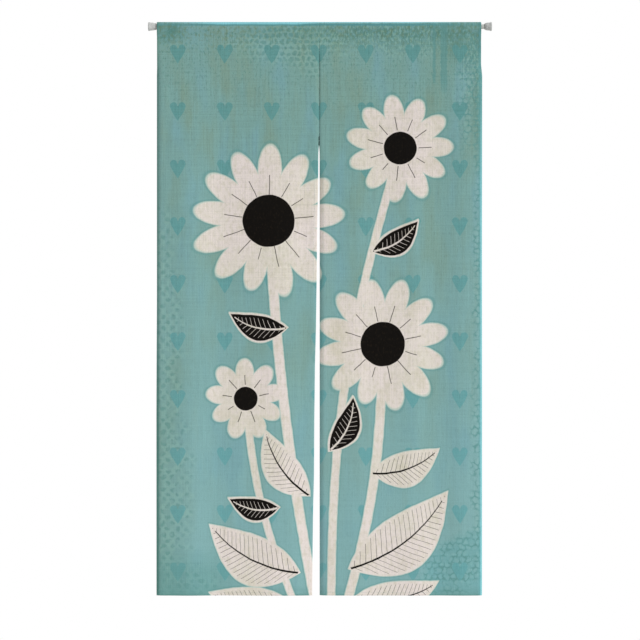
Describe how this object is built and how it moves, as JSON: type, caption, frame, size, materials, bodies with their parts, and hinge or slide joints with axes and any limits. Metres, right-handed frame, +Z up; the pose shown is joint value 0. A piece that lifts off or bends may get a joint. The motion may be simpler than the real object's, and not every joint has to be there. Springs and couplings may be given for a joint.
{
  "type": "noren curtain on a tension rod",
  "caption": "Split cloth doorway curtain whose two hemmed panels are joined at the top and share a rod pocket, hung on a telescoping tension rod with flared rubber end caps.",
  "frame": {"origin": "centre of the flat outer face of the left end cap, on the rod's axis", "axes": "+X along the rod from the left cap to the right cap as seen from the printed side, +Z up the cloth, +Y towards the unprinted back"},
  "size_m": [0.898, 0.023, 1.5],
  "materials": {
    "printed_cloth": "plain-weave cotton and linen blend with uneven slubs, matt, printed on the front in muted teal, cream and black",
    "enamelled_tube": "thin steel tube with a pale grey satin enamel",
    "grey_rubber": "matt warm light grey rubber"
  },
  "bodies": {
    "root": {"panel_left": "printed_cloth", "panel_right": "printed_cloth", "rod_outer_tube": "enamelled_tube", "rod_inner_tube": "enamelled_tube", "end_cap_left": "grey_rubber", "end_cap_right": "grey_rubber"}
  },
  "joints": []
}
